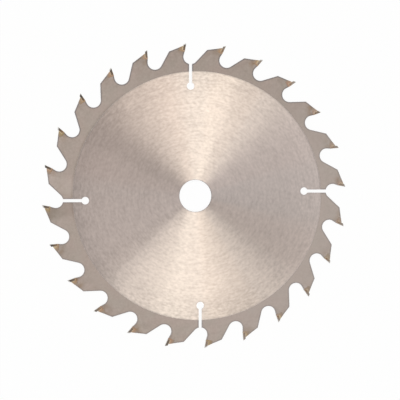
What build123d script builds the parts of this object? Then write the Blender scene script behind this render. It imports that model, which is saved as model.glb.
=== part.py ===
"""Circular saw blade of 190 mm for a hand-held saw, with 24 brazed carbide tips.

Units are millimetres. The origin is the middle of the bore, on the plate's middle plane.
+Z runs along the bore, out of the face that is looked at, and +Y is up in that view.
Seen from +Z the teeth point clockwise. One tooth is drawn at the top, with its cutting
point on +Y, and is turned from there to each of the 24 places.
"""

from build123d import *
from math import cos, radians, sin, sqrt, tan
import os

# The whole blade
blade_dia = 190.0  # over the cutting points
bore_dia = 20.0
plate_t = 1.6  # over the ground disc
kerf = 2.6  # over the sides of the tips
tooth_count = 24
first_tooth = 11.58  # degrees clockwise from +Y

# The ground disc in the middle of both faces
ground_dia = 154.5
ground_shift = (1.5, 0.1)  # the disc's centre, a little off the bore
rim_rise = 0.05  # the blasted rim stands this much above the ground disc
bore_break = 0.15  # small chamfer on both edges of the bore

# The steel tooth
land_angle = 19.0  # fall of the land behind the tip, from the tangent
land_drop = 0.9  # from the back of the tip's top down to the land
back_angle = 58.5  # rise of the tooth's back, from the tangent
throat_angle = 20.5  # lean of the steel below the tip, from the radius
gullet_r = 4.5
gullet_floor = 81.85  # from the bore's axis to the deepest point of a gullet

# The carbide tip
hook_angle = 13.5  # lean of the cutting face, from the radius
relief_angle = 19.5  # fall of the tip's top, from the tangent
bevel_angle = 15.0  # slope of the tip's top across the kerf, to either side in turn
side_angle = 1.5  # the sides draw in toward the bore
tail_angle = 2.0  # the sides draw in toward the back
tip_length = 4.8
tip_t = 1.5

# The braze
braze_gap = 0.1  # layer between the seat and the tip
braze_back = 2.6  # reach of the fillet behind the tip, over the face of the plate
braze_below = 0.7  # and below the tip's foot
braze_rise = 0.25  # height of the fillet above the face of the plate

# The expansion slots, each in the gullet ahead of every sixth tooth
slot_count = 4
slot_w = 1.85
slot_lean = 2.5  # from the radius at the keyhole, the mouth leans clockwise
keyhole_dia = 4.6
keyhole_at = 68.25  # from the bore's axis to the keyhole's centre
keyhole_ahead = 0.9  # degrees clockwise from the cutting point behind it

pitch = 360 / tooth_count
rim_t = plate_t + 2 * rim_rise


def leaning(angle):
    """Unit vector that points outward and leans clockwise from the radius."""
    return Vector(sin(radians(angle)), cos(radians(angle)))


def rising(angle):
    """Unit vector that points clockwise and rises from the tangent."""
    return Vector(cos(radians(angle)), sin(radians(angle)))


def meet(point, direction, other_point, other_direction):
    """Where two lines in the plane of the blade cross."""
    across = Vector(-other_direction.Y, other_direction.X)
    run = (other_point - point).dot(across) / direction.dot(across)
    return point + direction * run


# The tooth's lines, in the plane of the blade, with the cutting point on +Y
cutting_point = Vector(0, blade_dia / 2)
face_line = leaning(hook_angle)
face_normal = rising(-hook_angle)
top_line = rising(relief_angle)
foot_point = cutting_point - face_line * tip_length
tip_heel = meet(cutting_point, top_line, cutting_point - face_normal * tip_t, face_line)
land_end = tip_heel - Vector(0, land_drop)
land_line = rising(land_angle)
throat_line = leaning(throat_angle)
throat_normal = rising(-throat_angle)
back_line = rising(back_angle)
back_normal = rising(back_angle - 90)


def gullet_centre():
    """The centre of the arc that touches the throat and reaches down to the floor."""
    start = foot_point + throat_normal * gullet_r
    reach = start.dot(throat_line)
    centre_at = gullet_floor + gullet_r
    run = reach - sqrt(reach**2 - start.length**2 + centre_at**2)
    return start - throat_line * run


def seat_corners(back, below):
    """Corners of the tooth's area that ends behind and below the tip by the given amounts."""
    wall = cutting_point - face_normal * (tip_t + back)
    ledge = foot_point - face_line * below
    return [
        meet(wall, face_line, land_end, land_line),
        meet(wall, face_line, ledge, face_normal),
        meet(ledge, face_normal, foot_point, throat_line),
        meet(land_end, land_line, foot_point, throat_line),
    ]


def seat_area(back, below):
    return make_face(Polyline(*seat_corners(back, below), close=True))


def tooth_edges():
    """The outline of one tooth and the gullet ahead of it, up to the next shoulder."""
    centre = gullet_centre()
    own_gullet = centre.rotate(Axis.Z, pitch)
    shoulder = meet(own_gullet + back_normal * gullet_r, back_line, land_end, land_line)
    land, corner, sill, _ = seat_corners(braze_gap, braze_gap)
    throat_end = centre - throat_normal * gullet_r
    floor = centre - centre.normalized() * gullet_r
    back_start = centre + back_normal.rotate(Axis.Z, -pitch) * gullet_r
    return [
        Polyline(shoulder, land, corner, sill, throat_end),
        ThreePointArc(throat_end, floor, back_start),
        Line(back_start, shoulder.rotate(Axis.Z, -pitch)),
    ]


def slot():
    """An expansion slot that opens into the gullet and ends in a round keyhole."""
    length = gullet_floor + gullet_r / 2 - keyhole_at
    cut = Pos(0, length / 2) * Rectangle(slot_w, length) + Circle(keyhole_dia / 2)
    return Rot(0, 0, -keyhole_ahead) * Pos(0, keyhole_at) * Rot(0, 0, -slot_lean) * cut


def tooth_places():
    return [-first_tooth - pitch * n for n in range(tooth_count)]


def blade_plate():
    """The steel: the toothed outline with bore and slots, ground in the middle."""
    outline = [Rot(0, 0, place) * edge for place in tooth_places() for edge in tooth_edges()]
    sheet = make_face(outline) - Circle(bore_dia / 2)
    every = tooth_count // slot_count
    sheet -= [Rot(0, 0, place) * slot() for place in tooth_places()[every - 1 :: every]]
    plate = extrude(sheet, rim_t / 2, both=True)
    ground = Pos(*ground_shift, plate_t / 2) * extrude(Circle(ground_dia / 2), rim_t)
    plate -= [ground, mirror(ground, Plane.XY)]
    bore_edges = plate.edges().filter_by(GeomType.CIRCLE)
    bore_edges = bore_edges.filter_by(lambda edge: abs(edge.radius - bore_dia / 2) < 1e-6)
    return chamfer(bore_edges, bore_break)


def tip(side):
    """One carbide block, its top highest on the +Z side for 1 and on the -Z side for -1."""
    outline = Polyline(
        cutting_point,
        foot_point,
        foot_point - face_normal * tip_t,
        tip_heel,
        close=True,
    )
    block = extrude(make_face(outline), kerf / 2, both=True)
    up = Vector(0, 0, kerf / 2)
    draw = face_line * tan(radians(side_angle)) + face_normal * tan(radians(tail_angle))
    for face in (1, -1):
        flank = Plane(cutting_point + up * face, z_dir=Vector(0, 0, face) - draw)
        block = split(block, bisect_by=flank, keep=Keep.BOTTOM)
    slope = Vector(0, 0, side * tan(radians(bevel_angle)))
    crown = Plane(cutting_point + up * side, z_dir=rising(relief_angle + 90) - slope)
    return split(block, bisect_by=crown, keep=Keep.BOTTOM)


def braze():
    """The layer in the seat and a fillet on each face, all one piece."""
    layer = extrude(seat_area(braze_gap, braze_gap), rim_t / 2, both=True)
    reach = seat_area(braze_gap + braze_back, braze_gap + braze_below)
    base = Pos(0, 0, rim_t / 2) * reach
    crest = Pos(0, 0, rim_t / 2 + braze_rise) * seat_area(braze_gap, braze_gap)
    fillet = loft([base, crest])
    room = extrude(seat_area(0, 0), kerf, both=True)
    return layer + fillet + mirror(fillet, Plane.XY) - room


def parts():
    tips = (tip(1), tip(-1))
    filler = braze()
    made = {"blade_plate": blade_plate()}
    for number, place in enumerate(tooth_places()):
        made[f"tip_{number + 1:02d}"] = Rot(0, 0, place) * tips[number % 2]
        made[f"braze_{number + 1:02d}"] = Rot(0, 0, place) * filler
    return made


os.makedirs("parts", exist_ok=True)
for name, shape in parts().items():
    shape.label = name
    export_step(shape, f"parts/{name}.step")
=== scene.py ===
# %% [markdown]
# # A circular saw blade with carbide tips
#
# The real blade is a steel plate, cut with a laser, with 24 small carbide blocks brazed into
# its teeth. The shapes come from the CAD model. This lesson gives them their finishes: steel
# ground in fine rings, steel blasted with grit, bare cut edges, ground carbide and braze.
# Everything is in metres, with the middle of the bore at the origin and the blade lying flat,
# so the face that we look at points along +Z.

import math

import bpy
import numpy as np
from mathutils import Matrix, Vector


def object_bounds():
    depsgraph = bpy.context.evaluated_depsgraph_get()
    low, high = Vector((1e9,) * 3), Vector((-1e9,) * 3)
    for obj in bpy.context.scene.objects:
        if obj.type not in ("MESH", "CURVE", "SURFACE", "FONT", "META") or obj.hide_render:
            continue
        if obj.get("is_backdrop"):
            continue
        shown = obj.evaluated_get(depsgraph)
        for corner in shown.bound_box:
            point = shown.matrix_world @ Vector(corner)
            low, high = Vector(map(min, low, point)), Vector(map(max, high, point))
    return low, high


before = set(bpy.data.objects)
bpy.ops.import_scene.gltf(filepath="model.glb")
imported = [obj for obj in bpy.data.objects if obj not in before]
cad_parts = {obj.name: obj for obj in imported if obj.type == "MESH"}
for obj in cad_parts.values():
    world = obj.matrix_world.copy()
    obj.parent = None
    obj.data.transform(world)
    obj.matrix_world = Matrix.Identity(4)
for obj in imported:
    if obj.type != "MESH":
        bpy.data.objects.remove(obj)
cad_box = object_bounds()
mm = 0.001

# %% [markdown]
# ## Where the camera stands
#
# The picture is taken from almost straight above. The blade looks a touch narrower than it is
# tall, and its left side a touch larger, so the camera leans five degrees to the left. It looks
# past the bore by a few millimetres, because the blade isn't quite in the middle of the picture.

# %% Camera
lean = math.radians(5.04)
distance = 0.832
aim = np.array([0.0029, -0.0026, 0.0])
towards_camera = np.array([-math.sin(lean), 0.0, math.cos(lean)])

camera = bpy.data.objects.new("camera", bpy.data.cameras.new("camera"))
bpy.context.scene.collection.objects.link(camera)
bpy.context.scene.camera = camera
camera.location = aim + towards_camera * distance
camera.rotation_euler = (0.0, -lean, 0.0)
camera.data.sensor_width = 36.0
camera.data.lens = 120.46
camera.data.clip_start = 0.01
bpy.context.scene.view_settings.view_transform = "Standard"
print("camera at", [round(float(v), 4) for v in camera.location])

# %% [markdown]
# ## Two helpers
#
# Colours are written the way a picture editor shows them, as a hex value. Blender works with
# light itself, so one function turns the hex value into the amount of light. The other helper
# adds a node to a material, sets its values and joins it to the nodes before it.


# %% Colour and node helpers
def linear(colour):
    """The light of an sRGB hex colour: the standard curve, undone channel by channel."""
    values = np.array([int(colour[i : i + 2], 16) for i in (1, 3, 5)]) / 255
    light = np.where(values <= 0.04045, values / 12.92, ((values + 0.055) / 1.055) ** 2.4)
    return (*light.tolist(), 1.0)


def add(tree, kind, settings=None, **inputs):
    """Add a node. An input is named with _ for a space, or in_0, in_1 for a numbered one.

    An input that is a node is joined to that node's first output in use, one that is a socket
    is joined to it, and any other is set as a plain value.
    """
    node = tree.nodes.new(kind)
    for name, value in (settings or {}).items():
        setattr(node, name, value)
    for name, value in inputs.items():
        key = int(name[3:]) if name.startswith("in_") else name.replace("_", " ")
        if isinstance(value, bpy.types.Node):
            value = next(socket for socket in value.outputs if socket.enabled)
        if isinstance(value, bpy.types.NodeSocket):
            tree.links.new(value, node.inputs[key])
        else:
            node.inputs[key].default_value = value
    return node


print("a mid grey reflects", round(linear("#808080")[0], 3))

# %% [markdown]
# ## Light
#
# Steel shows what is around it, so the light is most of the picture. An even white room gives
# the steel its grey. The camera sees that room as plain white, and so does any mirror or glass
# that it looks at, while the pieces get a lower, plain level of light from it.

# %% Room
world = bpy.data.worlds.new("white room")
bpy.context.scene.world = world
world.use_nodes = True
room = world.node_tree
room.nodes.clear()


def seen(tree):
    """1 for a ray from the camera, also one that steel mirrors or that glass lets through."""
    rays = add(tree, "ShaderNodeLightPath")
    straight = rays.outputs["Is Camera Ray"]
    for bent in ("Is Glossy Ray", "Is Transmission Ray"):
        straight = add(
            tree,
            "ShaderNodeMath",
            {"operation": "MAXIMUM"},
            in_0=straight,
            in_1=rays.outputs[bent],
        )
    return straight


room_light = 0.3
strength = add(
    room,
    "ShaderNodeMapRange",
    Value=seen(room),
    To_Min=room_light,
    To_Max=1.0,
)
white = add(
    room,
    "ShaderNodeBackground",
    Color=linear("#ffffff"),
    Strength=strength.outputs[0],
)
add(room, "ShaderNodeOutputWorld", Surface=white.outputs[0])
print("the room lights pieces at", room_light)

# %% [markdown]
# The ground disc is bright in two fans, at the top and at the bottom, and an even grey at the
# sides. Such fans come from light that stands above the top edge and below the bottom edge of
# the picture. A wide box gives the body of each fan and a narrow one its bright middle. The
# fans lean a few degrees clockwise, and so do the boxes. The grey is a little brighter and
# cooler from the lower left to the upper right, as from a window that stands to the left.

# %% Softboxes
box_height = 2.0
# name, degrees clockwise from +Y, near edge, far edge and half width in metres, radiance, colour
boxes = [
    ("wide box above", 2.6, 0.940, 1.140, 0.984, 11.4, "#fffff5"),
    ("wide box below", 179.3, 0.778, 1.182, 0.784, 6.0, "#fffff5"),
    ("narrow box above", 9.9, 0.656, 0.856, 0.152, 15.0, "#fffff5"),
    ("narrow box below", 183.0, 0.948, 1.224, 0.076, 21.5, "#f8fff5"),
    ("window to the left", 243.8, 0.400, 3.092, 1.104, 0.77, "#f7f6ff"),
]
for name, turn, near, far, half_width, radiance, colour in boxes:
    data = bpy.data.lights.new(name, "AREA")
    data.shape = "RECTANGLE"
    data.size = 2 * half_width
    data.color = linear(colour)[:3]
    data.size_y = far - near
    # a lamp's watts are its radiance times pi times its area
    data.energy = radiance * math.pi * 2 * half_width * (far - near)
    lamp = bpy.data.objects.new(name, data)
    turn = math.radians(turn)
    middle = (near + far) / 2
    lamp.location = (middle * math.sin(turn), middle * math.cos(turn), box_height)
    lamp.rotation_euler = (0.0, 0.0, -turn)
    bpy.context.scene.collection.objects.link(lamp)
    print(name, "gives", round(data.energy, 1), "W")

# %% [markdown]
# ## Floor
#
# The blade lies on the lower points of its tips, half a kerf below the origin. The floor is a
# wide matt white sheet. The camera sees mostly plain white on it, and so does the steel that
# mirrors it. The rest is real light, so that the blade keeps a soft shadow.

# %% Floor
kerf = 2.6 * mm
floor_half = 3.0
floor_data = bpy.data.meshes.new("floor")
corners = np.array([(-1, -1), (1, -1), (1, 1), (-1, 1)]) * floor_half
floor_data.from_pydata([(x, y, -kerf / 2) for x, y in corners], [], [(0, 1, 2, 3)])
floor = bpy.data.objects.new("floor", floor_data)
bpy.context.scene.collection.objects.link(floor)

paper = bpy.data.materials.new("white paper")
paper.use_nodes = True
tree = paper.node_tree
tree.nodes.clear()
matt = add(tree, "ShaderNodeBsdfDiffuse", Color=linear("#f8f8f8"))
glow = add(tree, "ShaderNodeEmission", Color=linear("#ffffff"), Strength=1.0)
glow_share = 0.95
share = add(
    tree,
    "ShaderNodeMath",
    {"operation": "MULTIPLY"},
    in_0=seen(tree),
    in_1=glow_share,
)
both = add(
    tree,
    "ShaderNodeMixShader",
    in_0=share.outputs[0],
    in_1=matt.outputs[0],
    in_2=glow.outputs[0],
)
add(tree, "ShaderNodeOutputMaterial", Surface=both.outputs[0])
floor_data.materials.append(paper)
floor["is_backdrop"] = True
print("floor at", round(-kerf / 2 / mm, 2), "mm")

# %% [markdown]
# ## Rings around the bore
#
# A grinding wheel leaves scratches in rings around the bore. A pattern that follows them needs
# two numbers at each point: the way out from the bore, and the distance from it. Both come from
# the Object coordinates. The way out is also the direction in which ground steel spreads a
# highlight, because a scratch spreads light across itself.


# %% Polar coordinates
def around_bore(tree):
    """At each point, its place on the blade's plane, the way out and the distance out."""
    place = add(tree, "ShaderNodeTexCoord")
    flat = add(
        tree,
        "ShaderNodeVectorMath",
        {"operation": "MULTIPLY"},
        in_0=place.outputs["Object"],
        in_1=(1.0, 1.0, 0.0),
    )
    out = add(tree, "ShaderNodeVectorMath", {"operation": "NORMALIZE"}, in_0=flat)
    radius = add(tree, "ShaderNodeVectorMath", {"operation": "LENGTH"}, in_0=flat)
    return flat, out, radius


disc_middle = (1.5 * mm, 0.1 * mm, 0.0)
disc_radius = 77.25 * mm


def around_disc(tree):
    """Distance from the middle of the ground disc, which lies a little off the bore."""
    place = add(tree, "ShaderNodeTexCoord")
    return add(
        tree,
        "ShaderNodeVectorMath",
        {"operation": "DISTANCE"},
        in_0=place.outputs["Object"],
        in_1=disc_middle,
    )


print("the ground disc lies", round(disc_middle[0] / mm, 1), "mm to the right of the bore")

# %% [markdown]
# A bundle of scratches is drawn as a grain of noise, pulled long on the ring that it lies on.
# A grain of Blender's noise is about a third of a unit wide. So a place in metres is multiplied
# by that third, and divided by the size that the grain has to have.

# %% Streaks in rings
noise_grain = 0.35
mean_noise = 0.5


def ring_noise(tree, flat, radius, length, width):
    """Noise in rings: its grains are length metres long and width metres wide.

    The noise is read at the place on the blade's plane over the length, plus the radius over
    the width along Z. Along a ring only the first part changes, and across it both do.
    """
    along = add(
        tree,
        "ShaderNodeVectorMath",
        {"operation": "SCALE"},
        in_0=flat,
        Scale=noise_grain / length,
    )
    across = add(
        tree,
        "ShaderNodeMath",
        {"operation": "MULTIPLY"},
        in_0=radius,
        in_1=noise_grain / width,
    )
    up = add(tree, "ShaderNodeCombineXYZ", Z=across)
    spot = add(tree, "ShaderNodeVectorMath", in_0=along, in_1=up)
    return add(tree, "ShaderNodeTexNoise", Vector=spot, Scale=1.0, Detail=1.0)


print("a grain of noise is", noise_grain, "units wide")

# %% [markdown]
# No blade is even all round. Much of what follows grows stronger or weaker toward a direction,
# which is given in degrees clockwise from the top, as on the face of a clock.


# %% Changes by direction
def toward(tree, out, degrees, start, end):
    """0 to 1 as the way out from the bore turns toward a direction on the clock.

    The dot product of the two unit vectors is the cosine of the angle between them. It is
    stretched so that a cosine of start gives 0 and one of end gives 1.
    """
    turn = math.radians(degrees)
    cosine = add(
        tree,
        "ShaderNodeVectorMath",
        {"operation": "DOT_PRODUCT"},
        in_0=out,
        in_1=(math.sin(turn), math.cos(turn), 0.0),
    )
    return add(
        tree,
        "ShaderNodeMapRange",
        {"interpolation_type": "SMOOTHSTEP"},
        Value=cosine,
        From_Min=start,
        From_Max=end,
    )


def steered(tree, out, value, changes):
    """The value, raised or lowered toward some directions on the clock.

    Each change is a direction, the cosines where it starts and where it is full, and how much
    is added there: the value plus the change times what toward gives.
    """
    for degrees, start, end, change in changes:
        value = add(
            tree,
            "ShaderNodeMath",
            {"operation": "MULTIPLY_ADD"},
            in_0=toward(tree, out, degrees, start, end),
            in_1=change,
            in_2=value,
        )
    return value


print("directions count clockwise from +Y")

# %% [markdown]
# ## Grains of a known size
#
# Grit marks, stains and brush lines are all noise, and differ in the size of their grains. Here
# too the place is divided by the real size. A grain can be stretched along an axis, which turns
# it to a line.


# %% Grains
def grains(tree, size, stretch=(1.0, 1.0, 1.0), where=None, detail=2.0):
    """Noise whose grains are size metres wide, and longer along an axis by its stretch."""
    if where is None:
        where = add(tree, "ShaderNodeTexCoord").outputs["Object"]
    spot = add(
        tree,
        "ShaderNodeVectorMath",
        {"operation": "MULTIPLY"},
        in_0=where,
        in_1=tuple(noise_grain / size / length for length in stretch),
    )
    return add(tree, "ShaderNodeTexNoise", Vector=spot, Scale=1.0, Detail=detail)


print("grains are sized in metres")

# %% [markdown]
# ## Where a tooth begins
#
# Heat, braze and grinding marks sit at the same place on each tooth, so a finish has to know
# where it is on its tooth. All 24 teeth share one drawing, turned by a pitch of 15 degrees. If
# each point is turned back to one upright tooth, one pattern serves them all. The tooth's
# number gives each of them its own chance numbers, so that no two are alike. Those numbers come
# from an endless list, and each finish reads a row of 24 of its own: the first, second or third
# after the start. So which tooth comes out darker or browner is left to chance.

# %% Tooth coordinates
teeth = 24
pitch = math.tau / teeth
first_tooth = math.radians(11.58)
hook = math.radians(13.5)
point_radius = 95.0 * mm


def on_tooth(tree, row):
    """Place measured from the nearest tooth's cutting point, and that tooth's chance numbers.

    The azimuth over the pitch, rounded, is the tooth's number. Turned back by that many
    pitches, the first tooth's angle and the hook angle, the cutting face stands along Y. So X
    is the distance ahead of the cutting face, and Y the distance out from the cutting point.
    The row is where the teeth start in the endless list of chance numbers. It is a multiple of
    their count, so that the numbers wrap around at it.
    """
    place = add(tree, "ShaderNodeTexCoord")
    axes = add(tree, "ShaderNodeSeparateXYZ", Vector=place.outputs["Object"])
    azimuth = add(
        tree,
        "ShaderNodeMath",
        {"operation": "ARCTAN2"},
        in_0=axes.outputs["X"],
        in_1=axes.outputs["Y"],
    )
    count = add(
        tree,
        "ShaderNodeMath",
        {"operation": "MULTIPLY_ADD"},
        in_0=azimuth,
        in_1=1 / pitch,
        in_2=-first_tooth / pitch,
    )
    number = add(tree, "ShaderNodeMath", {"operation": "ROUND"}, in_0=count)
    turn = add(
        tree,
        "ShaderNodeMath",
        {"operation": "MULTIPLY_ADD"},
        in_0=number,
        in_1=pitch,
        in_2=first_tooth + hook,
    )
    upright = add(
        tree,
        "ShaderNodeVectorRotate",
        {"rotation_type": "Z_AXIS"},
        Vector=place.outputs["Object"],
        Angle=turn,
    )
    local = add(
        tree,
        "ShaderNodeVectorMath",
        {"operation": "SUBTRACT"},
        in_0=upright,
        in_1=(-point_radius * math.sin(hook), point_radius * math.cos(hook), 0.0),
    )
    entry = add(
        tree,
        "ShaderNodeMath",
        {"operation": "WRAP"},
        in_0=number,
        in_1=row + teeth,
        in_2=row,
    )
    chance = add(tree, "ShaderNodeTexWhiteNoise", {"noise_dimensions": "1D"}, W=entry)
    return local, add(tree, "ShaderNodeSeparateColor", Color=chance.outputs["Color"])


print("the teeth stand", round(math.degrees(pitch), 1), "degrees apart")

# %% [markdown]
# ## Where an edge is near
#
# Edges show what a blade has been through. Cutting and brazing oxidise the steel next to them,
# and use rubs them bright. A Bevel node finds them: it bends the normal where another face is
# near, so how far the bent normal leans away says how near the edge is. It looks at faces, not
# at joints between them, so it works on the loose triangles of a CAD mesh.


# %% Edges
def near_edge(tree, reach, full=0.75):
    """1 at a sharp edge, falling to 0 at about the given distance from it.

    It is 1 where the cosine between bent and true normal is below full, so a full near 1
    gives a band as wide as the reach, and a lower one a thin line. It is 0 where the cosine is
    above 0.998, so a lean of less than four degrees is no edge.
    """
    bent = add(tree, "ShaderNodeBevel", {"samples": 6}, Radius=reach)
    facing = add(tree, "ShaderNodeNewGeometry")
    agree = add(
        tree,
        "ShaderNodeVectorMath",
        {"operation": "DOT_PRODUCT"},
        in_0=bent,
        in_1=facing.outputs["Normal"],
    )
    return add(tree, "ShaderNodeMapRange", Value=agree, From_Min=0.998, From_Max=full)


print("an edge shows as far as its reach")

# %% [markdown]
# ## Ground steel
#
# The disc in the middle is chromium tool steel, surface-ground on a turning table. It is a bare
# metal, so it has no colour of its own beside its reflection, and the warm grey is what steel
# gives under warm light. The scratches make the highlight long across them and short along
# them: full anisotropy. Real scratches are some hundredths of a millimetre wide, too fine for
# this picture, so the streaks that show are bundles of them, half a millimetre wide.
#
# The wheel cut the scratches with a slight lean, so the disc mirrors the lights as if each
# point were tipped a few degrees toward the bore. At the rim of the disc, where it lies a step
# lower than the blasted rim, a darker line is painted as the shade of that step.
#
# First come the streaks: short ones and long ones, laid over each other.


# %% Ground steel
def blank(name):
    """A new material with an empty node tree."""
    material = bpy.data.materials.new(name)
    material.use_nodes = True
    material.node_tree.nodes.clear()
    return material, material.node_tree


ground, tree = blank("ground steel")
flat, out, radius = around_bore(tree)
short_length = 0.75 * mm
long_length = 3.2 * mm
long_share = 0.36
short = ring_noise(tree, flat, radius, length=short_length, width=0.55 * mm)
long = ring_noise(tree, flat, radius, length=long_length, width=0.5 * mm)
streaks = add(
    tree,
    "ShaderNodeMix",
    {"data_type": "FLOAT"},
    Factor=long_share,
    in_2=short,
    in_3=long,
)
print("streaks are", round(short_length / mm, 2), "and", round(long_length / mm, 2), "mm long")

# %% [markdown]
# The streaks don't stand out evenly. They are stronger in the two fans, where a small lean of
# the steel catches a lamp or misses it, and fainter at the sides, which mirror only the even
# room. They are stronger again near the disc's rim, where the plate ran fastest under the wheel.

# %% How much the streaks stand out
contrast = add(
    tree,
    "ShaderNodeMapRange",
    Value=radius,
    From_Min=62.0 * mm,
    From_Max=74.0 * mm,
    To_Min=0.96,
    To_Max=1.26,
)
contrast = steered(
    tree,
    out,
    contrast,
    (
        (352.0, 0.6, 0.88, 0.32),  # the upper fan
        (196.0, 0.6, 0.88, 0.13),  # the lower fan
        (55.0, 0.8, 0.96, -0.15),  # to the right of the upper fan
    ),
)
off_mean = add(
    tree,
    "ShaderNodeMath",
    {"operation": "SUBTRACT"},
    in_0=streaks,
    in_1=mean_noise,
)
streaks = add(
    tree,
    "ShaderNodeMath",
    {"operation": "MULTIPLY_ADD"},
    in_0=off_mean,
    in_1=contrast,
    in_2=mean_noise,
)
print("the streaks are stretched about", mean_noise)

# %% [markdown]
# A streak is a shade between a darker and a lighter warm grey. Over it comes painted shade and
# light by direction: painted shade toward the disc's rim, most of all on the left, and painted
# light there on the right. Two narrow wedges on the left, at the fans' left edges, get painted
# shade from near the bore outward. A few fainter wedges are painted darker or lighter over part
# of the way.

# %% Shade of the ground steel
# Each entry paints shade or light into the steel's grey: a minus is painted shade, a plus painted
# light.
painted_shade_and_light = [  # middle, cosines where it starts and is full, radii in mm for the same, change
    (0.0, -1.1, -1.0, 55.0, 76.0, -0.19),  # duller toward the rim, all round
    (92.0, 0.45, 0.85, 55.0, 76.0, 0.34),  # lighter there on the right
    (262.0, 0.70, 0.86, 69.0, 73.0, -0.09),  # duller still on the left
    (170.0, 0.94, 0.99, 62.0, 70.0, -0.09),  # and at the bottom
    (306.0, 0.97, 0.996, 12.0, 20.0, -0.12),  # the wedge beside the upper fan
    (232.0, 0.990, 0.998, 10.0, 12.0, -0.11),  # the wedge beside the lower fan
    (220.0, 0.961, 0.990, 23.0, 13.0, -0.15),  # its wider end, close to the bore
    (160.0, 0.97, 0.995, 20.0, 30.0, -0.04),  # and from here on the fainter ones
    (90.0, 0.95, 0.99, 45.0, 20.0, -0.06),
    (212.0, 0.93, 0.985, 42.0, 52.0, 0.045),
    (13.0, 0.985, 0.997, 40.0, 50.0, 0.045),
    (262.0, 0.93, 0.985, 22.0, 32.0, -0.035),
    # a painted highlight on the step at the disc's rim, on the right
    (108.0, 0.88, 0.97, 75.0, 77.0, 0.09),
]
level = streaks
for degrees, start, end, inner, outer, change in painted_shade_and_light:
    reach = add(
        tree,
        "ShaderNodeMapRange",
        Value=radius,
        From_Min=inner * mm,
        From_Max=outer * mm,
        To_Max=change,
    )
    level = steered(tree, out, level, ((degrees, start, end, reach),))
dark, light = "#988e88", "#cabcb4"
shade = add(
    tree,
    "ShaderNodeMix",
    {"data_type": "RGBA"},
    Factor=level,
    in_6=linear(dark),
    in_7=linear(light),
)
print("the ground greys run from", dark, "to", light)

# %% [markdown]
# The bare steel has faint casts that differ round the blade: faintly pink on the upper left,
# most of all toward the rim, cooler on the right, and warmer beside the fans and on the lower
# left.

# %% Casts of the ground steel
casts = [  # middle, cosines where it starts and is full, share near and far out, colour
    (314.0, 0.72, 0.88, 0.13, 0.25, "#b49c91"),  # the pink on the upper left
    (90.0, 0.93, 0.985, 0.12, 0.12, "#a3a4a2"),  # the cooler right
    (115.0, 0.96, 0.99, 0.12, 0.12, "#bca99d"),  # and the warmer rest
    (162.0, 0.96, 0.99, 0.12, 0.12, "#b7a394"),
    (20.0, 0.96, 0.99, 0.06, 0.15, "#baa597"),
    (250.0, 0.88, 0.96, 0.06, 0.15, "#b19e93"),
]
near_bore = 20.0 * mm
far_out = 60.0 * mm
for degrees, start, end, near_share, far_share, colour in casts:
    cast = add(
        tree,
        "ShaderNodeMapRange",
        Value=radius,
        From_Min=near_bore,
        From_Max=far_out,
        To_Min=near_share,
        To_Max=far_share,
    )
    cast = add(
        tree,
        "ShaderNodeMath",
        {"operation": "MULTIPLY"},
        in_0=cast,
        in_1=toward(tree, out, degrees, start, end),
    )
    shade = add(
        tree,
        "ShaderNodeMix",
        {"data_type": "RGBA"},
        Factor=cast,
        in_6=shade,
        in_7=linear(colour),
    )
print("the ground steel has", len(casts), "casts")

# %% [markdown]
# The last millimetre before the disc's rim gets a painted shade of the step there, least on
# the lower right. The edges of the bore and of the slots are a little darker from handling, and
# their very corners are rubbed bright.

# %% Painted shade of the step, and the edges
painted_step_shade = add(
    tree,
    "ShaderNodeMapRange",
    Value=around_disc(tree),
    From_Min=disc_radius - 0.7 * mm,
    From_Max=disc_radius - 0.1 * mm,
)
# The painted shade of the step is weakest on the lower right.
strength = steered(tree, out, 0.7, ((120.0, 0.8, 0.97, -0.6),))
painted_step_shade = add(tree, "ShaderNodeMath", {"operation": "MULTIPLY"}, in_0=painted_step_shade, in_1=strength)
shade = add(
    tree,
    "ShaderNodeMix",
    {"data_type": "RGBA"},
    Factor=painted_step_shade,
    in_6=shade,
    in_7=linear("#8e847e"),
)
for reach, full, share, colour in (
    (1.5 * mm, 0.965, 0.3, "#8b8584"),  # darker from handling
    (0.4 * mm, 0.85, 0.8, "#dcd2cc"),  # rubbed bright
):
    worn = add(
        tree,
        "ShaderNodeMath",
        {"operation": "MULTIPLY"},
        in_0=near_edge(tree, reach, full=full),
        in_1=share,
    )
    shade = add(
        tree,
        "ShaderNodeMix",
        {"data_type": "RGBA"},
        Factor=worn,
        in_6=shade,
        in_7=linear(colour),
    )
# The darker line at the disc's rim is painted shade of the step.
print("the wheel ran out at", round(disc_radius / mm, 2), "mm")

# %% [markdown]
# The last part is what the light does. The lean tips the normal toward the bore, the streaks
# bump it a little, and the Tangent input points along the way out, across the scratches.

# %% Lean of the scratches
scratch_lean = -0.087
facing = add(tree, "ShaderNodeNewGeometry")
lean_in = add(
    tree,
    "ShaderNodeVectorMath",
    {"operation": "SCALE"},
    in_0=out,
    Scale=scratch_lean,
)
normal = add(tree, "ShaderNodeVectorMath", in_0=facing.outputs["Normal"], in_1=lean_in)
normal = add(tree, "ShaderNodeVectorMath", {"operation": "NORMALIZE"}, in_0=normal)
normal = add(tree, "ShaderNodeBump", Height=streaks, Distance=0.01 * mm, Normal=normal)
roughness = add(
    tree,
    "ShaderNodeMapRange",
    Value=streaks,
    From_Min=0.3,
    From_Max=0.7,
    To_Min=0.405,
    To_Max=0.391,
)
steel = add(
    tree,
    "ShaderNodeBsdfPrincipled",
    Base_Color=shade,
    Metallic=1.0,
    Roughness=roughness,
    Anisotropic=1.0,
    Tangent=out,
    Normal=normal,
)
add(tree, "ShaderNodeOutputMaterial", Surface=steel)
print("made", ground.name)

# %% [markdown]
# ## Blasted steel
#
# The rim and the teeth are blasted with fine grit after brazing, which cleans off the scale and
# leaves a matt grey that looks the same from every side. So this steel is rough in all
# directions. The grit leaves dents of a few hundredths of a millimetre. They are drawn coarser
# here, so that they show, with wider clouds where the nozzle passed more than once.

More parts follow.
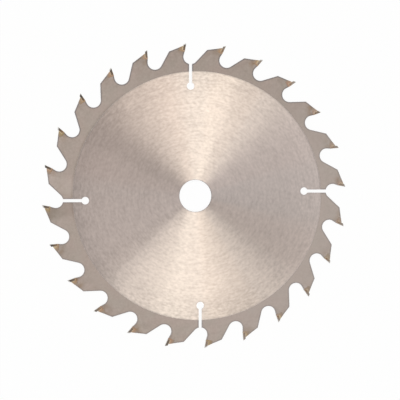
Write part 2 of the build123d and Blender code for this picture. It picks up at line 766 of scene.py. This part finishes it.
# %% Grit marks and clouds
blasted, tree = blank("blasted steel")
_, out, radius = around_bore(tree)
local, chances = on_tooth(tree, row=24.0)
grit_width = 0.45 * mm
grit = grains(tree, grit_width)
clouds = grains(tree, 2.5 * mm)
grit_share = 0.35
cloud_share = 0.4
level = 0.5 - (grit_share + cloud_share) * mean_noise  # which makes it 0.5 on average
for marks, share in ((grit, grit_share), (clouds, cloud_share)):
    level = add(
        tree,
        "ShaderNodeMath",
        {"operation": "MULTIPLY_ADD"},
        in_0=marks,
        in_1=share,
        in_2=level,
    )
print("grit marks are", round(grit_width / mm, 2), "mm wide")

# %% [markdown]
# The rim is slightly darker at the top and on the left, and beside the slot on the left one
# streak is darker and one lighter. On the upper left, just outside the disc, a darker line is
# painted as the shade of the step down to the disc. Out on the teeth the grit strikes their
# edges as well and bounces, which leaves them mottled.

# %% Uneven blasting
# painted shade of the step, on the rim just outside the disc
painted_step_shade_outside = add(
    tree,
    "ShaderNodeMapRange",
    Value=around_disc(tree),
    From_Min=disc_radius + 1.7 * mm,
    From_Max=disc_radius + 0.8 * mm,
    To_Max=-0.16,
)
level = steered(
    tree,
    out,
    level,
    (
        (22.0, 0.4, 1.0, -0.18),  # the top
        (265.0, -0.3, 0.6, -0.07),  # the left
        (264.3, 0.997, 0.9998, -0.2),  # the darker streak beside the slot
        (274.5, 0.9965, 0.9995, 0.15),  # the lighter one
        (290.0, 0.77, 0.92, painted_step_shade_outside),  # the line just outside the disc
    ),
)
mottle_start = 79.0 * mm
mottle_full = 86.0 * mm
beyond = add(
    tree,
    "ShaderNodeMapRange",
    Value=radius,
    From_Min=mottle_start,
    From_Max=mottle_full,
)
mottle = add(
    tree,
    "ShaderNodeMath",
    {"operation": "MULTIPLY_ADD"},
    in_0=grains(tree, 1.1 * mm),
    in_1=0.45,
    in_2=-0.26,
)
level = add(
    tree,
    "ShaderNodeMath",
    {"operation": "MULTIPLY_ADD"},
    in_0=beyond,
    in_1=mottle,
    in_2=level,
)
print("the mottle starts", round(mottle_start / mm, 1), "mm from the middle of the bore")

# %% [markdown]
# Each tooth was heated and blasted by itself, so each has a level of its own. It holds around
# the tip and fades out half way to the next tooth, so that no seam shows between the two. On
# the left, two teeth are darker still and the one above them is lighter, and further up two
# more are a little darker.

# %% A level for each tooth
seat = (-2.8 * mm, -2.6 * mm, 0.0)
from_seat = add(
    tree,
    "ShaderNodeVectorMath",
    {"operation": "DISTANCE"},
    in_0=local,
    in_1=seat,
)
around_tip = add(
    tree,
    "ShaderNodeMapRange",
    {"interpolation_type": "SMOOTHSTEP"},
    Value=from_seat,
    From_Min=9.5 * mm,
    From_Max=5.5 * mm,
    To_Max=0.19,
)
own = add(tree, "ShaderNodeMath", {"operation": "SUBTRACT"}, in_0=chances.outputs["Red"], in_1=0.5)
own = steered(
    tree,
    out,
    own,
    (
        (259.0, 0.96, 0.998, -0.75),  # the two dark teeth on the left
        (281.0, 0.988, 0.998, 0.35),  # the light one above them
        (319.0, 0.97, 0.99, -0.25),  # the two further up
    ),
)
level = add(
    tree,
    "ShaderNodeMath",
    {"operation": "MULTIPLY_ADD"},
    in_0=around_tip,
    in_1=own,
    in_2=level,
)
print("each tooth has a level of its own")

# %% [markdown]
# The level picks a grey between two. Over it lies a faint tinge, in patches of a few
# millimetres, from pink to green, and on the right side the steel is a little cooler.

# %% Greys of the blasted steel
dark, light = "#82776e", "#b8ada7"
shade = add(
    tree,
    "ShaderNodeMix",
    {"data_type": "RGBA"},
    Factor=level,
    in_6=linear(dark),
    in_7=linear(light),
)
tinge = add(
    tree,
    "ShaderNodeMapRange",
    Value=grains(tree, 3.5 * mm, detail=1.0),
    From_Min=0.3,
    From_Max=0.7,
)
tinge = add(
    tree,
    "ShaderNodeMix",
    {"data_type": "RGBA"},
    Factor=tinge,
    in_6=linear("#a3918c"),
    in_7=linear("#9b938c"),
)
tinge_share = 0.25
shade = add(
    tree,
    "ShaderNodeMix",
    {"data_type": "RGBA"},
    Factor=tinge_share,
    in_6=shade,
    in_7=tinge,
)
cooler = add(
    tree,
    "ShaderNodeMath",
    {"operation": "MULTIPLY"},
    in_0=toward(tree, out, 105.0, 0.1, 0.9),
    in_1=0.4,
)
shade = add(
    tree,
    "ShaderNodeMix",
    {"data_type": "RGBA"},
    Factor=cooler,
    in_6=shade,
    in_7=linear("#a09894"),
)
print("the blasted greys run from", dark, "to", light)

# %% [markdown]
# Three traces of the making and of use are left on it. Behind each tip the torch has tinted
# the steel in straw and brown, in patches where the grit has cleaned some of it off. How much
# is left is each tooth's own chance, and four teeth on the left have more.

# %% Heat tint
heat_reach = 8.0 * mm
heat = add(
    tree,
    "ShaderNodeMapRange",
    {"interpolation_type": "SMOOTHSTEP"},
    Value=from_seat,
    From_Min=heat_reach,
    From_Max=1.5 * mm,
)
patches = add(
    tree,
    "ShaderNodeMapRange",
    Value=grains(tree, 1.6 * mm),
    From_Min=0.4,
    From_Max=0.6,
)
heat = add(tree, "ShaderNodeMath", {"operation": "MULTIPLY"}, in_0=heat, in_1=patches)
hotter = steered(
    tree,
    out,
    chances.outputs["Blue"],
    (
        (290.0, 0.95, 0.985, 0.6),  # two teeth above the slot on the left
        (245.0, 0.95, 0.985, 0.6),  # and two below it
    ),
)
heat = add(tree, "ShaderNodeMath", {"operation": "MULTIPLY"}, in_0=heat, in_1=hotter)
shade = add(
    tree,
    "ShaderNodeMix",
    {"data_type": "RGBA"},
    Factor=heat,
    in_6=shade,
    in_7=linear("#806a54"),
)
print("heat tint reaches", round(heat_reach / mm, 1), "mm from the seat")

# %% [markdown]
# Along the cut outline the beam has left a band of oxide, darker and bluer, which is thickest
# at the top of the blade and next on the upper left. And where wood rubs the very corner of the
# outline, it is bright.

# %% Oxide and rubbed corners
thicker = steered(
    tree,
    out,
    0.5,
    (
        (355.0, 0.3, 0.95, 0.45),  # the top
        (289.0, 0.93, 0.98, 0.35),  # the upper left
    ),
)
oxide = add(
    tree,
    "ShaderNodeMath",
    {"operation": "MULTIPLY"},
    in_0=near_edge(tree, 1.6 * mm, full=0.965),
    in_1=thicker,
)
shade = add(
    tree,
    "ShaderNodeMix",
    {"data_type": "RGBA"},
    Factor=oxide,
    in_6=shade,
    in_7=linear("#636063"),
)
rubbed = add(
    tree,
    "ShaderNodeMath",
    {"operation": "MULTIPLY"},
    in_0=near_edge(tree, 0.4 * mm, full=0.85),
    in_1=0.8,
)
shade = add(
    tree,
    "ShaderNodeMix",
    {"data_type": "RGBA"},
    Factor=rubbed,
    in_6=shade,
    in_7=linear("#cac8ca"),
)
dents = add(tree, "ShaderNodeBump", Height=grit, Distance=0.03 * mm)
roughness = add(tree, "ShaderNodeMapRange", Value=clouds, To_Min=0.7, To_Max=0.8)
steel = add(
    tree,
    "ShaderNodeBsdfPrincipled",
    Base_Color=shade,
    Metallic=1.0,
    Roughness=roughness,
    Normal=dents,
)
add(tree, "ShaderNodeOutputMaterial", Surface=steel)
print("made", blasted.name)

# %% [markdown]
# ## Cut edges
#
# The outline, the slots and the bore are cut through the plate with a laser. The beam leaves
# fine ribs from face to face, a few tenths of a millimetre apart, and its heat leaves a thin
# oxide in brown and blue, so a cut edge is darker than the faces. Where hands and wood rub the
# corners, the steel is bright again.

# %% Cut steel
cut, tree = blank("laser-cut steel")
ribs = grains(tree, 0.2 * mm, stretch=(1.0, 1.0, 12.0))
tint = grains(tree, 4.0 * mm)
brown_to_blue = add(
    tree,
    "ShaderNodeMix",
    {"data_type": "RGBA"},
    Factor=tint,
    in_6=linear("#6f5f50"),
    in_7=linear("#6c7079"),
)
rib_light = add(tree, "ShaderNodeMapRange", Value=ribs, From_Min=0.35, From_Max=0.7)
shade = add(
    tree,
    "ShaderNodeMix",
    {"data_type": "RGBA"},
    Factor=rib_light,
    in_6=brown_to_blue,
    in_7=linear("#98908a"),
)
shade = add(
    tree,
    "ShaderNodeMix",
    {"data_type": "RGBA"},
    Factor=near_edge(tree, 0.12 * mm),
    in_6=shade,
    in_7=linear("#b0a9a4"),
)
ribbed = add(tree, "ShaderNodeBump", Height=ribs, Distance=0.04 * mm)
roughness = add(tree, "ShaderNodeMapRange", Value=ribs, To_Min=0.4, To_Max=0.6)
steel = add(
    tree,
    "ShaderNodeBsdfPrincipled",
    Base_Color=shade,
    Metallic=1.0,
    Roughness=roughness,
    Normal=ribbed,
)
add(tree, "ShaderNodeOutputMaterial", Surface=steel)
print("made", cut.name)

# %% [markdown]
# ## Ground carbide
#
# The tips are tungsten carbide in cobalt, ground on a diamond wheel. Carbide is a dark, dense
# grey. Its sides are darkest, with a brown film of flux near the foot, while the top, the cutting
# face and the corners get a painted reflection and a painted highlight. Each tip has a shade of
# its own at random, as each was set and ground by itself. Over it comes painted shade and light
# for the room that each tip mirrors at its own small angle: the tips on the left are darker, and
# so are two at the upper right and one at the bottom, while three at the lower right are lighter.
# The wheel's lines run along the tip. They are finer than a hundredth of a millimetre, and are
# drawn ten times coarser.

# %% Shade of the sides
carbide, tree = blank("ground tungsten carbide")
out = around_bore(tree)[1]
local, chances = on_tooth(tree, row=48.0)
chance_share = 0.55
darkest = -0.28
lighter = add(
    tree,
    "ShaderNodeMath",
    {"operation": "MULTIPLY_ADD"},
    in_0=chances.outputs["Red"],
    in_1=chance_share,
    in_2=darkest,
)
# Painted shade and light by direction, for the room that each tip mirrors.
lighter = steered(
    tree,
    out,
    lighter,
    (
        (286.0, 0.75, -0.5, 1.0),  # all but those on the left
        (49.0, 0.975, 0.993, -0.35),  # two at the upper right
        (131.0, 0.93, 0.97, 0.18),  # three at the lower right
        (192.0, 0.985, 0.998, -0.2),  # one at the bottom
    ),
)
dark, light = "#443f3b", "#79706a"
shade = add(
    tree,
    "ShaderNodeMix",
    {"data_type": "RGBA"},
    Factor=lighter,
    in_6=linear(dark),
    in_7=linear(light),
)
axes = add(tree, "ShaderNodeSeparateXYZ", Vector=local)
toward_foot = add(
    tree,
    "ShaderNodeMapRange",
    Value=axes.outputs["Y"],
    From_Min=-1.5 * mm,
    From_Max=-4.5 * mm,
)
film = add(tree, "ShaderNodeMapRange", Value=chances.outputs["Green"], To_Min=0.3, To_Max=0.9)
film = add(tree, "ShaderNodeMath", {"operation": "MULTIPLY"}, in_0=film, in_1=toward_foot)
shade = add(
    tree,
    "ShaderNodeMix",
    {"data_type": "RGBA"},
    Factor=film,
    in_6=shade,
    in_7=linear("#74593f"),
)
print("the sides run from", dark, "to", light)

# %% [markdown]
# A tip's side is told from its top and its cutting face by the way that it faces: only the
# sides lie nearly flat. All the other faces get a painted reflection of the bright room, and a
# thin line at each corner a painted highlight.

# %% Painted bright faces and corners, and grinding lines
facing = add(tree, "ShaderNodeNewGeometry")
normal_axes = add(tree, "ShaderNodeSeparateXYZ", Vector=facing.outputs["Normal"])
upright = add(tree, "ShaderNodeMath", {"operation": "ABSOLUTE"}, in_0=normal_axes.outputs["Z"])
side = add(tree, "ShaderNodeMapRange", Value=upright, From_Min=0.6, From_Max=0.9)
# a painted reflection on all faces but the sides
shade = add(
    tree,
    "ShaderNodeMix",
    {"data_type": "RGBA"},
    Factor=side,
    in_6=linear("#bfbab4"),
    in_7=shade,
)
# a painted highlight along each corner
corner = add(
    tree,
    "ShaderNodeMath",
    {"operation": "MULTIPLY"},
    in_0=near_edge(tree, 0.4 * mm),
    in_1=0.9,
)
shade = add(
    tree,
    "ShaderNodeMix",
    {"data_type": "RGBA"},
    Factor=corner,
    in_6=shade,
    in_7=linear("#b5b0aa"),
)
lines = grains(tree, 0.12 * mm, stretch=(1.0, 20.0, 1.0), where=local.outputs[0])
lined = add(tree, "ShaderNodeBump", Height=lines, Distance=0.01 * mm)
roughness = add(tree, "ShaderNodeMapRange", Value=lines, To_Min=0.3, To_Max=0.45)
hard = add(
    tree,
    "ShaderNodeBsdfPrincipled",
    Base_Color=shade,
    Metallic=1.0,
    Roughness=roughness,
    Normal=lined,
)
add(tree, "ShaderNodeOutputMaterial", Surface=hard)
print("made", carbide.name)

# %% [markdown]
# ## Silver braze
#
# The tips are held by a silver and copper alloy, which melts at about 650 degrees and runs out
# of the joint onto both faces of the plate. It is a pale gold where it is thick, next to the
# tip, and thins to a stain in tan and brown. How much ran out, and how coppery it looks, is
# chance, and differs from tooth to tooth. Blasting has dulled it, more on one side of the blade
# than on the other.

# %% Colour of the braze
braze, tree = blank("silver braze")
out = around_bore(tree)[1]
local, chances = on_tooth(tree, row=72.0)
axes = add(tree, "ShaderNodeSeparateXYZ", Vector=local)
alloy = add(
    tree,
    "ShaderNodeMix",
    {"data_type": "RGBA"},
    Factor=chances.outputs["Red"],
    in_6=linear("#8b7c5b"),
    in_7=linear("#967767"),
)
stain = grains(tree, 0.8 * mm)
spread = add(
    tree,
    "ShaderNodeMath",
    {"operation": "MULTIPLY_ADD"},
    in_0=stain,
    in_1=2.5 * mm,
    in_2=axes.outputs["X"],
)
thinned_out = -2.8 * mm
thin = add(
    tree,
    "ShaderNodeMapRange",
    Value=spread,
    From_Min=-0.6 * mm,
    From_Max=thinned_out,
)
shade = add(
    tree,
    "ShaderNodeMix",
    {"data_type": "RGBA"},
    Factor=thin,
    in_6=alloy,
    in_7=linear("#82756a"),
)
dulled = add(
    tree,
    "ShaderNodeMath",
    {"operation": "MULTIPLY"},
    in_0=toward(tree, out, 105.0, 0.2, 0.95),
    in_1=0.6,
)
shade = add(
    tree,
    "ShaderNodeMix",
    {"data_type": "RGBA"},
    Factor=dulled,
    in_6=shade,
    in_7=linear("#8b8079"),
)
print("the braze thins out", round(-thinned_out / mm, 1), "mm behind the cutting face")

# %% [markdown]
# Beside the tip the braze is thick, and pale gold. How pale is again each tooth's own chance.

# %% The thick part beside the tip
beside = add(
    tree,
    "ShaderNodeMapRange",
    Value=axes.outputs["Y"],
    From_Min=-4.8 * mm,
    From_Max=-4.3 * mm,
)
thick = add(
    tree,
    "ShaderNodeMapRange",
    Value=spread,
    From_Min=-1.0 * mm,
    From_Max=-0.5 * mm,
)
pale = add(tree, "ShaderNodeMapRange", Value=chances.outputs["Green"], To_Min=0.2, To_Max=1.0)
pale = add(tree, "ShaderNodeMath", {"operation": "MULTIPLY"}, in_0=pale, in_1=thick)
pale = add(tree, "ShaderNodeMath", {"operation": "MULTIPLY"}, in_0=pale, in_1=beside)
shade = add(
    tree,
    "ShaderNodeMix",
    {"data_type": "RGBA"},
    Factor=pale,
    in_6=shade,
    in_7=linear("#a89a7e"),
)
ripples = add(tree, "ShaderNodeBump", Height=stain, Distance=0.08 * mm)
roughness = add(tree, "ShaderNodeMapRange", Value=stain, To_Min=0.55, To_Max=0.75)
soft = add(
    tree,
    "ShaderNodeBsdfPrincipled",
    Base_Color=shade,
    Metallic=1.0,
    Roughness=roughness,
    Normal=ripples,
)
add(tree, "ShaderNodeOutputMaterial", Surface=soft)
print("made", braze.name)

# %% [markdown]
# ## Which face gets which finish
#
# The plate is one piece of steel with three finishes. The height of a face tells them apart:
# the ground disc lies a little lower than the blasted rim, and all other faces are cut edges.

# %% Finishes on the plate
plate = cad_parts["blade_plate"].data
heights = np.zeros(len(plate.vertices) * 3, np.float32)
plate.vertices.foreach_get("co", heights)
heights = np.abs(heights.reshape(-1, 3)[:, 2])
corners = np.zeros(len(plate.polygons) * 3, np.int32)
plate.polygons.foreach_get("vertices", corners)
corners = heights[corners.reshape(-1, 3)]
ground_height = 0.80 * mm
tolerance = 0.01 * mm
is_flat = corners.max(1) - corners.min(1) < tolerance / 10
is_ground = is_flat & (abs(corners[:, 0] - ground_height) < tolerance)
is_blasted = is_flat & (corners[:, 0] > ground_height + 2 * tolerance)
finish = np.where(is_blasted, 0, np.where(is_ground, 1, 2))
plate.materials.clear()
for material in (blasted, ground, cut):
    plate.materials.append(material)
plate.polygons.foreach_set("material_index", finish.astype(np.int32))
plate.update()
print("faces blasted, ground, cut:", np.bincount(finish).tolist())

# %% [markdown]
# All tips are of one carbide and all runs of braze of one alloy. What differs from tooth to
# tooth is read from its place, so one material serves each.

# %% Finishes on the tips
for name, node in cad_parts.items():
    for kind, material in (("tip", carbide), ("braze", braze)):
        if name.startswith(kind):
            node.data.materials.clear()
            node.data.materials.append(material)
print("tips and braze are dressed")

# %% [markdown]
# ## The size
#
# Nothing here changes the blade's size. The boxes of the CAD model and of the dressed model are
# printed together.

# %% Sizes and finish
boxes = {
    "cad": [[float(v) for v in corner] for corner in cad_box],
    "visual": [[float(v) for v in corner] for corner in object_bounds()],
}
print(boxes)
